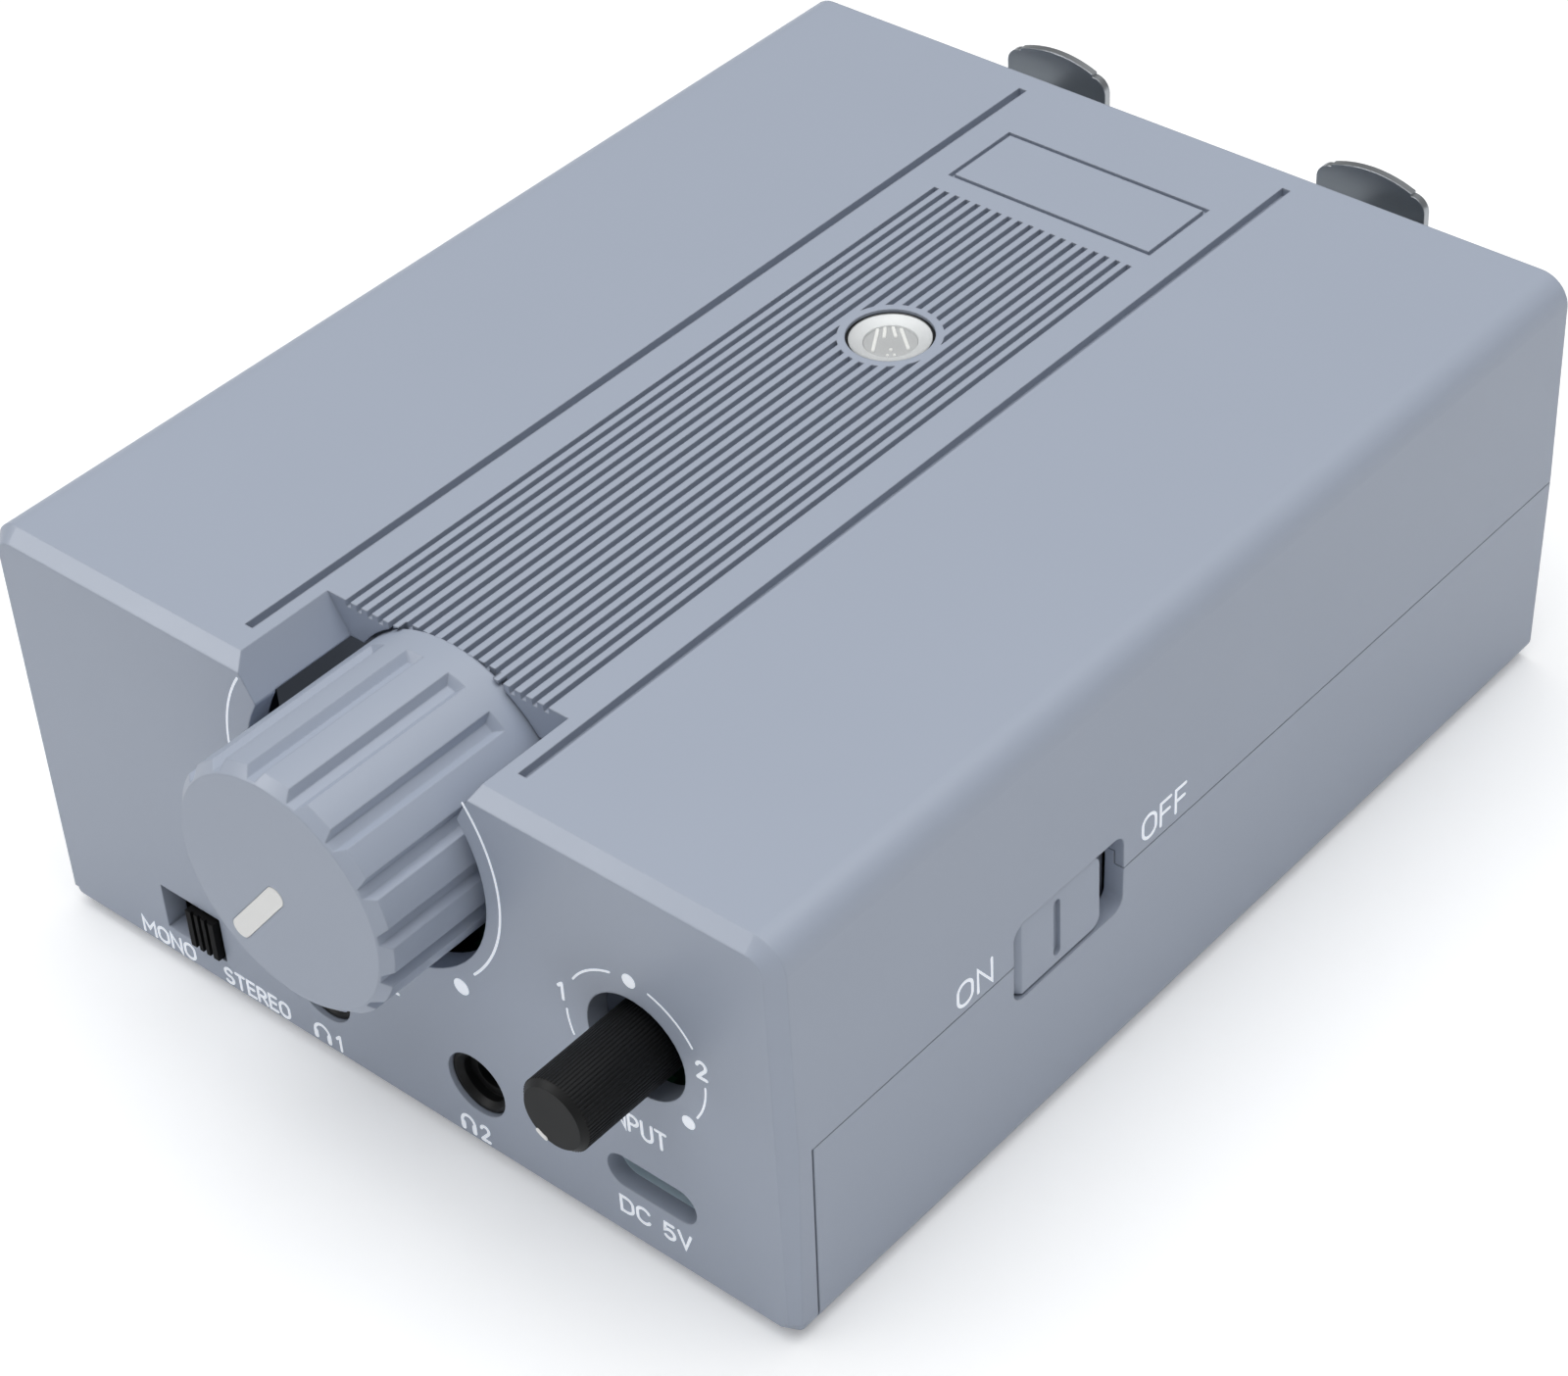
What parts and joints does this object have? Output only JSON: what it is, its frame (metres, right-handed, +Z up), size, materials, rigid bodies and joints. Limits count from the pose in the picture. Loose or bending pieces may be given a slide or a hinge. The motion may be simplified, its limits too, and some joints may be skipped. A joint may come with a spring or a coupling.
{
  "type": "headphone monitor amplifier",
  "caption": "Desktop headphone monitor amplifier: flat rectangular case with a ribbed top, a large fluted volume knob set in a notch, slide switches and rear line sockets.",
  "frame": {"origin": "middle of the footprint at the height the rubber feet stand on, so z is 0 at the feet", "axes": "+X to the right along the front with the knobs, +Y from the front to the back, +Z up"},
  "size_m": [0.1, 0.1438, 0.0504],
  "materials": {
    "case": "fine satin grain, pale blue grey",
    "black": "satin black",
    "pointer": "smooth white",
    "steel": "plain",
    "nickel": "polished nickel plate",
    "board": "lacquered green laminate",
    "foot": "matte",
    "lens": "clear",
    "reflector": "bright metallised",
    "light": "milky",
    "contacts": "plated",
    "sleeve": "smooth sleeve"
  },
  "bodies": {
    "case": {"top_shell": "case", "bottom_shell": "case", "case_screws": "steel", "rubber_feet": "foot", "main_board": "board", "board_screws": "steel", "amp_chips": "black", "capacitors": "sleeve", "sub_panel": "black", "panel_screws": "steel", "control_board": "board", "volume_pot": "steel", "volume_nut": "steel", "input_pot": "steel", "input_nut": "steel", "phones_jack_1": "black", "phones_jack_2": "black", "usb_base": "black", "usb_shell": "nickel", "usb_tongue": "black", "mode_switch": "black", "switch_board": "board", "power_switch": "black", "status_lens": "lens", "lens_ring": "black", "lens_reflector": "reflector", "status_led": "light", "led_board": "board", "led_screws": "steel", "socket_shell_left": "nickel", "socket_shell_right": "nickel", "socket_insert_left": "black", "socket_insert_right": "black", "socket_contacts": "contacts", "socket_screws": "steel"},
    "volume": {"volume_shaft": "steel", "volume_knob": "case", "volume_pointer": "pointer"},
    "input": {"input_shaft": "steel", "input_knob": "black"},
    "mode": {"mode_lever": "black"},
    "power": {"power_cap": "case"},
    "release_left": {"release_tab_left": "nickel"},
    "release_right": {"release_tab_right": "nickel"}
  },
  "joints": [
    {"name": "volume_turn", "type": "hinge", "parent": "case", "child": "volume", "pos_m": [0, -0.06098, 0.0368], "axis": [0, 1, 0], "range_deg": [0, 287]},
    {"name": "input_turn", "type": "hinge", "parent": "case", "child": "input", "pos_m": [0.0326, -0.06098, 0.02855], "axis": [0, 1, 0], "range_deg": [0, 270]},
    {"name": "mode_slide", "type": "slide", "parent": "case", "child": "mode", "axis": [-1, 0, 0], "range_m": [0, 0.004]},
    {"name": "power_slide", "type": "slide", "parent": "case", "child": "power", "axis": [0, 1, 0], "range_m": [0, 0.003]},
    {"name": "release_left_press", "type": "slide", "parent": "case", "child": "release_left", "axis": [0, 0, -1], "range_m": [0, 0.0015], "stiffness_N_per_m": 400, "springref_m": -0.0005},
    {"name": "release_right_press", "type": "slide", "parent": "case", "child": "release_right", "axis": [0, 0, -1], "range_m": [0, 0.0015], "stiffness_N_per_m": 400, "springref_m": -0.0005}
  ]
}
